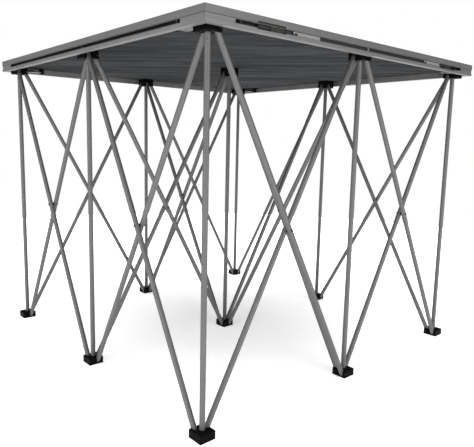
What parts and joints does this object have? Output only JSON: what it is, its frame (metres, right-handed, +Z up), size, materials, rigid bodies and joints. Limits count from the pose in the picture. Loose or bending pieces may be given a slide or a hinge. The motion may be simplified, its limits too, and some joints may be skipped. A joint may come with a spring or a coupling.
{
  "type": "folding stage riser platform",
  "caption": "Square stage deck with slotted edge rails and sliding latches, resting on a folding grid of posts and scissor braces.",
  "frame": {"origin": "middle of the footprint, on the floor", "axes": "+Z up, the deck's sides along X and Y, latch sides facing -Y and +X"},
  "size_m": [1, 1, 0.816],
  "materials": {
    "hub_plastic": "matte",
    "frame_tube": "satin",
    "rail_aluminium": "satin",
    "board_film": "smooth film face",
    "latch_metal": "satin",
    "bracket_metal": "satin",
    "block_plastic": "matte"
  },
  "bodies": {
    "foot_c": {"foot_hub_c": "hub_plastic"},
    "top_c": {"top_hub_c": "hub_plastic", "post_c": "frame_tube"},
    "foot_e": {"foot_hub_e": "hub_plastic"},
    "top_e": {"top_hub_e": "hub_plastic", "post_e": "frame_tube"},
    "foot_n": {"foot_hub_n": "hub_plastic"},
    "top_n": {"top_hub_n": "hub_plastic", "post_n": "frame_tube"},
    "foot_w": {"foot_hub_w": "hub_plastic"},
    "top_w": {"top_hub_w": "hub_plastic", "post_w": "frame_tube"},
    "foot_s": {"foot_hub_s": "hub_plastic"},
    "top_s": {"top_hub_s": "hub_plastic", "post_s": "frame_tube"},
    "foot_ne": {"foot_hub_ne": "hub_plastic"},
    "top_ne": {"top_hub_ne": "hub_plastic", "post_ne": "frame_tube"},
    "foot_nw": {"foot_hub_nw": "hub_plastic"},
    "top_nw": {"top_hub_nw": "hub_plastic", "post_nw": "frame_tube"},
    "foot_sw": {"foot_hub_sw": "hub_plastic"},
    "top_sw": {"top_hub_sw": "hub_plastic", "post_sw": "frame_tube"},
    "foot_se": {"foot_hub_se": "hub_plastic"},
    "top_se": {"top_hub_se": "hub_plastic", "post_se": "frame_tube"},
    "brace_c_to_e": {"brace_c_to_e": "frame_tube"},
    "brace_e_to_c": {"brace_e_to_c": "frame_tube"},
    "brace_c_to_n": {"brace_c_to_n": "frame_tube"},
    "brace_n_to_c": {"brace_n_to_c": "frame_tube"},
    "brace_c_to_w": {"brace_c_to_w": "frame_tube"},
    "brace_w_to_c": {"brace_w_to_c": "frame_tube"},
    "brace_c_to_s": {"brace_c_to_s": "frame_tube"},
    "brace_s_to_c": {"brace_s_to_c": "frame_tube"},
    "brace_e_to_ne": {"brace_e_to_ne": "frame_tube"},
    "brace_ne_to_e": {"brace_ne_to_e": "frame_tube"},
    "brace_e_to_se": {"brace_e_to_se": "frame_tube"},
    "brace_se_to_e": {"brace_se_to_e": "frame_tube"},
    "brace_n_to_ne": {"brace_n_to_ne": "frame_tube"},
    "brace_ne_to_n": {"brace_ne_to_n": "frame_tube"},
    "brace_n_to_nw": {"brace_n_to_nw": "frame_tube"},
    "brace_nw_to_n": {"brace_nw_to_n": "frame_tube"},
    "brace_w_to_nw": {"brace_w_to_nw": "frame_tube"},
    "brace_nw_to_w": {"brace_nw_to_w": "frame_tube"},
    "brace_w_to_sw": {"brace_w_to_sw": "frame_tube"},
    "brace_sw_to_w": {"brace_sw_to_w": "frame_tube"},
    "brace_s_to_sw": {"brace_s_to_sw": "frame_tube"},
    "brace_sw_to_s": {"brace_sw_to_s": "frame_tube"},
    "brace_s_to_se": {"brace_s_to_se": "frame_tube"},
    "brace_se_to_s": {"brace_se_to_s": "frame_tube"},
    "deck": {"deck_board": "board_film", "rail_south": "rail_aluminium", "rail_east": "rail_aluminium", "rail_north": "rail_aluminium", "rail_west": "rail_aluminium", "corner_brackets": "bracket_metal", "locating_blocks": "block_plastic"},
    "latch_south": {"latch_south": "latch_metal"},
    "latch_east": {"latch_east": "latch_metal"}
  },
  "joints": [
    {"name": "fold", "type": "hinge", "parent": "foot_c", "child": "brace_c_to_e", "pos_m": [0.0144, 0.0065, 0.009], "axis": [0, -1, 0], "range_deg": [0, 27.55]},
    {"name": "cross_c_e", "type": "hinge", "parent": "brace_c_to_e", "child": "brace_e_to_c", "pos_m": [0.231, 0.0065, 0.3975], "axis": [0, 1, 0], "range_deg": [0, 55.1]},
    {"name": "top_c_hinge", "type": "hinge", "parent": "brace_e_to_c", "child": "top_c", "pos_m": [0.0144, -0.0065, 0.786], "axis": [0, -1, 0], "range_deg": [0, 27.55]},
    {"name": "top_e_hinge", "type": "hinge", "parent": "brace_c_to_e", "child": "top_e", "pos_m": [0.4476, 0.0065, 0.786], "axis": [0, 1, 0], "range_deg": [0, 27.55]},
    {"name": "foot_e_hinge", "type": "hinge", "parent": "brace_e_to_c", "child": "foot_e", "pos_m": [0.4476, -0.0065, 0.009], "axis": [0, -1, 0], "range_deg": [0, 27.55]},
    {"name": "brace_c_to_n_foot", "type": "hinge", "parent": "foot_c", "child": "brace_c_to_n", "pos_m": [-0.0065, 0.0144, 0.009], "axis": [1, 0, 0], "range_deg": [0, 27.55]},
    {"name": "cross_c_n", "type": "hinge", "parent": "brace_c_to_n", "child": "brace_n_to_c", "pos_m": [-0.0065, 0.231, 0.3975], "axis": [-1, 0, 0], "range_deg": [0, 55.1]},
    {"name": "top_n_hinge", "type": "hinge", "parent": "brace_c_to_n", "child": "top_n", "pos_m": [-0.0065, 0.4476, 0.786], "axis": [-1, 0, 0], "range_deg": [0, 27.55]},
    {"name": "foot_n_hinge", "type": "hinge", "parent": "brace_n_to_c", "child": "foot_n", "pos_m": [0.0065, 0.4476, 0.009], "axis": [1, 0, 0], "range_deg": [0, 27.55]},
    {"name": "brace_c_to_w_foot", "type": "hinge", "parent": "foot_c", "child": "brace_c_to_w", "pos_m": [-0.0144, -0.0065, 0.009], "axis": [0, 1, 0], "range_deg": [0, 27.55]},
    {"name": "cross_c_w", "type": "hinge", "parent": "brace_c_to_w", "child": "brace_w_to_c", "pos_m": [-0.231, -0.0065, 0.3975], "axis": [0, -1, 0], "range_deg": [0, 55.1]},
    {"name": "top_w_hinge", "type": "hinge", "parent": "brace_c_to_w", "child": "top_w", "pos_m": [-0.4476, -0.0065, 0.786], "axis": [0, -1, 0], "range_deg": [0, 27.55]},
    {"name": "foot_w_hinge", "type": "hinge", "parent": "brace_w_to_c", "child": "foot_w", "pos_m": [-0.4476, 0.0065, 0.009], "axis": [0, 1, 0], "range_deg": [0, 27.55]},
    {"name": "brace_c_to_s_foot", "type": "hinge", "parent": "foot_c", "child": "brace_c_to_s", "pos_m": [0.0065, -0.0144, 0.009], "axis": [-1, 0, 0], "range_deg": [0, 27.55]},
    {"name": "cross_c_s", "type": "hinge", "parent": "brace_c_to_s", "child": "brace_s_to_c", "pos_m": [0.0065, -0.231, 0.3975], "axis": [1, 0, 0], "range_deg": [0, 55.1]},
    {"name": "top_s_hinge", "type": "hinge", "parent": "brace_c_to_s", "child": "top_s", "pos_m": [0.0065, -0.4476, 0.786], "axis": [1, 0, 0], "range_deg": [0, 27.55]},
    {"name": "foot_s_hinge", "type": "hinge", "parent": "brace_s_to_c", "child": "foot_s", "pos_m": [-0.0065, -0.4476, 0.009], "axis": [-1, 0, 0], "range_deg": [0, 27.55]},
    {"name": "brace_e_to_ne_foot", "type": "hinge", "parent": "foot_e", "child": "brace_e_to_ne", "pos_m": [0.4555, 0.0144, 0.009], "axis": [1, 0, 0], "range_deg": [0, 27.55]},
    {"name": "brace_ne_to_e_head", "type": "hinge", "parent": "top_e", "child": "brace_ne_to_e", "pos_m": [0.4685, 0.0144, 0.786], "axis": [-1, 0, 0], "range_deg": [0, 27.55]},
    {"name": "top_ne_hinge", "type": "hinge", "parent": "brace_e_to_ne", "child": "top_ne", "pos_m": [0.4555, 0.4476, 0.786], "axis": [-1, 0, 0], "range_deg": [0, 27.55]},
    {"name": "foot_ne_hinge", "type": "hinge", "parent": "brace_ne_to_e", "child": "foot_ne", "pos_m": [0.4685, 0.4476, 0.009], "axis": [1, 0, 0], "range_deg": [0, 27.55]},
    {"name": "brace_e_to_se_foot", "type": "hinge", "parent": "foot_e", "child": "brace_e_to_se", "pos_m": [0.4685, -0.0144, 0.009], "axis": [-1, 0, 0], "range_deg": [0, 27.55]},
    {"name": "brace_se_to_e_head", "type": "hinge", "parent": "top_e", "child": "brace_se_to_e", "pos_m": [0.4555, -0.0144, 0.786], "axis": [1, 0, 0], "range_deg": [0, 27.55]},
    {"name": "top_se_hinge", "type": "hinge", "parent": "brace_e_to_se", "child": "top_se", "pos_m": [0.4685, -0.4476, 0.786], "axis": [1, 0, 0], "range_deg": [0, 27.55]},
    {"name": "foot_se_hinge", "type": "hinge", "parent": "brace_se_to_e", "child": "foot_se", "pos_m": [0.4555, -0.4476, 0.009], "axis": [-1, 0, 0], "range_deg": [0, 27.55]},
    {"name": "brace_n_to_ne_foot", "type": "hinge", "parent": "foot_n", "child": "brace_n_to_ne", "pos_m": [0.0144, 0.4685, 0.009], "axis": [0, -1, 0], "range_deg": [0, 27.55]},
    {"name": "brace_ne_to_n_head", "type": "hinge", "parent": "top_n", "child": "brace_ne_to_n", "pos_m": [0.0144, 0.4555, 0.786], "axis": [0, 1, 0], "range_deg": [0, 27.55]},
    {"name": "brace_n_to_nw_foot", "type": "hinge", "parent": "foot_n", "child": "brace_n_to_nw", "pos_m": [-0.0144, 0.4555, 0.009], "axis": [0, 1, 0], "range_deg": [0, 27.55]},
    {"name": "brace_nw_to_n_head", "type": "hinge", "parent": "top_n", "child": "brace_nw_to_n", "pos_m": [-0.0144, 0.4685, 0.786], "axis": [0, -1, 0], "range_deg": [0, 27.55]},
    {"name": "top_nw_hinge", "type": "hinge", "parent": "brace_n_to_nw", "child": "top_nw", "pos_m": [-0.4476, 0.4555, 0.786], "axis": [0, -1, 0], "range_deg": [0, 27.55]},
    {"name": "foot_nw_hinge", "type": "hinge", "parent": "brace_nw_to_n", "child": "foot_nw", "pos_m": [-0.4476, 0.4685, 0.009], "axis": [0, 1, 0], "range_deg": [0, 27.55]},
    {"name": "brace_w_to_nw_foot", "type": "hinge", "parent": "foot_w", "child": "brace_w_to_nw", "pos_m": [-0.4685, 0.0144, 0.009], "axis": [1, 0, 0], "range_deg": [0, 27.55]},
    {"name": "brace_nw_to_w_head", "type": "hinge", "parent": "top_w", "child": "brace_nw_to_w", "pos_m": [-0.4555, 0.0144, 0.786], "axis": [-1, 0, 0], "range_deg": [0, 27.55]},
    {"name": "brace_w_to_sw_foot", "type": "hinge", "parent": "foot_w", "child": "brace_w_to_sw", "pos_m": [-0.4555, -0.0144, 0.009], "axis": [-1, 0, 0], "range_deg": [0, 27.55]},
    {"name": "brace_sw_to_w_head", "type": "hinge", "parent": "top_w", "child": "brace_sw_to_w", "pos_m": [-0.4685, -0.0144, 0.786], "axis": [1, 0, 0], "range_deg": [0, 27.55]},
    {"name": "top_sw_hinge", "type": "hinge", "parent": "brace_w_to_sw", "child": "top_sw", "pos_m": [-0.4555, -0.4476, 0.786], "axis": [1, 0, 0], "range_deg": [0, 27.55]},
    {"name": "foot_sw_hinge", "type": "hinge", "parent": "brace_sw_to_w", "child": "foot_sw", "pos_m": [-0.4685, -0.4476, 0.009], "axis": [-1, 0, 0], "range_deg": [0, 27.55]},
    {"name": "brace_s_to_sw_foot", "type": "hinge", "parent": "foot_s", "child": "brace_s_to_sw", "pos_m": [-0.0144, -0.4685, 0.009], "axis": [0, 1, 0], "range_deg": [0, 27.55]},
    {"name": "brace_sw_to_s_head", "type": "hinge", "parent": "top_s", "child": "brace_sw_to_s", "pos_m": [-0.0144, -0.4555, 0.786], "axis": [0, -1, 0], "range_deg": [0, 27.55]},
    {"name": "brace_s_to_se_foot", "type": "hinge", "parent": "foot_s", "child": "brace_s_to_se", "pos_m": [0.0144, -0.4555, 0.009], "axis": [0, -1, 0], "range_deg": [0, 27.55]},
    {"name": "brace_se_to_s_head", "type": "hinge", "parent": "top_s", "child": "brace_se_to_s", "pos_m": [0.0144, -0.4685, 0.786], "axis": [0, 1, 0], "range_deg": [0, 27.55]},
    {"name": "deck_lift", "type": "slide", "parent": "top_c", "child": "deck", "axis": [0, 0, 1], "range_m": [0, 0.12]},
    {"name": "latch_south_slide", "type": "slide", "parent": "deck", "child": "latch_south", "axis": [-1, 0, 0], "range_m": [0, 0.025]},
    {"name": "latch_east_slide", "type": "slide", "parent": "deck", "child": "latch_east", "axis": [0, -1, 0], "range_m": [0, 0.025]}
  ],
  "couplings": [
    {"joint": "cross_c_e", "follows": "fold", "ratio": 2},
    {"joint": "top_c_hinge", "follows": "fold", "ratio": 1},
    {"joint": "top_e_hinge", "follows": "fold", "ratio": 1},
    {"joint": "foot_e_hinge", "follows": "fold", "ratio": 1},
    {"joint": "brace_c_to_n_foot", "follows": "fold", "ratio": 1},
    {"joint": "cross_c_n", "follows": "fold", "ratio": 2},
    {"joint": "top_n_hinge", "follows": "fold", "ratio": 1},
    {"joint": "foot_n_hinge", "follows": "fold", "ratio": 1},
    {"joint": "brace_c_to_w_foot", "follows": "fold", "ratio": 1},
    {"joint": "cross_c_w", "follows": "fold", "ratio": 2},
    {"joint": "top_w_hinge", "follows": "fold", "ratio": 1},
    {"joint": "foot_w_hinge", "follows": "fold", "ratio": 1},
    {"joint": "brace_c_to_s_foot", "follows": "fold", "ratio": 1},
    {"joint": "cross_c_s", "follows": "fold", "ratio": 2},
    {"joint": "top_s_hinge", "follows": "fold", "ratio": 1},
    {"joint": "foot_s_hinge", "follows": "fold", "ratio": 1},
    {"joint": "brace_e_to_ne_foot", "follows": "fold", "ratio": 1},
    {"joint": "brace_ne_to_e_head", "follows": "fold", "ratio": 1},
    {"joint": "top_ne_hinge", "follows": "fold", "ratio": 1},
    {"joint": "foot_ne_hinge", "follows": "fold", "ratio": 1},
    {"joint": "brace_e_to_se_foot", "follows": "fold", "ratio": 1},
    {"joint": "brace_se_to_e_head", "follows": "fold", "ratio": 1},
    {"joint": "top_se_hinge", "follows": "fold", "ratio": 1},
    {"joint": "foot_se_hinge", "follows": "fold", "ratio": 1},
    {"joint": "brace_n_to_ne_foot", "follows": "fold", "ratio": 1},
    {"joint": "brace_ne_to_n_head", "follows": "fold", "ratio": 1},
    {"joint": "brace_n_to_nw_foot", "follows": "fold", "ratio": 1},
    {"joint": "brace_nw_to_n_head", "follows": "fold", "ratio": 1},
    {"joint": "top_nw_hinge", "follows": "fold", "ratio": 1},
    {"joint": "foot_nw_hinge", "follows": "fold", "ratio": 1},
    {"joint": "brace_w_to_nw_foot", "follows": "fold", "ratio": 1},
    {"joint": "brace_nw_to_w_head", "follows": "fold", "ratio": 1},
    {"joint": "brace_w_to_sw_foot", "follows": "fold", "ratio": 1},
    {"joint": "brace_sw_to_w_head", "follows": "fold", "ratio": 1},
    {"joint": "top_sw_hinge", "follows": "fold", "ratio": 1},
    {"joint": "foot_sw_hinge", "follows": "fold", "ratio": 1},
    {"joint": "brace_s_to_sw_foot", "follows": "fold", "ratio": 1},
    {"joint": "brace_sw_to_s_head", "follows": "fold", "ratio": 1},
    {"joint": "brace_s_to_se_foot", "follows": "fold", "ratio": 1},
    {"joint": "brace_se_to_s_head", "follows": "fold", "ratio": 1}
  ]
}
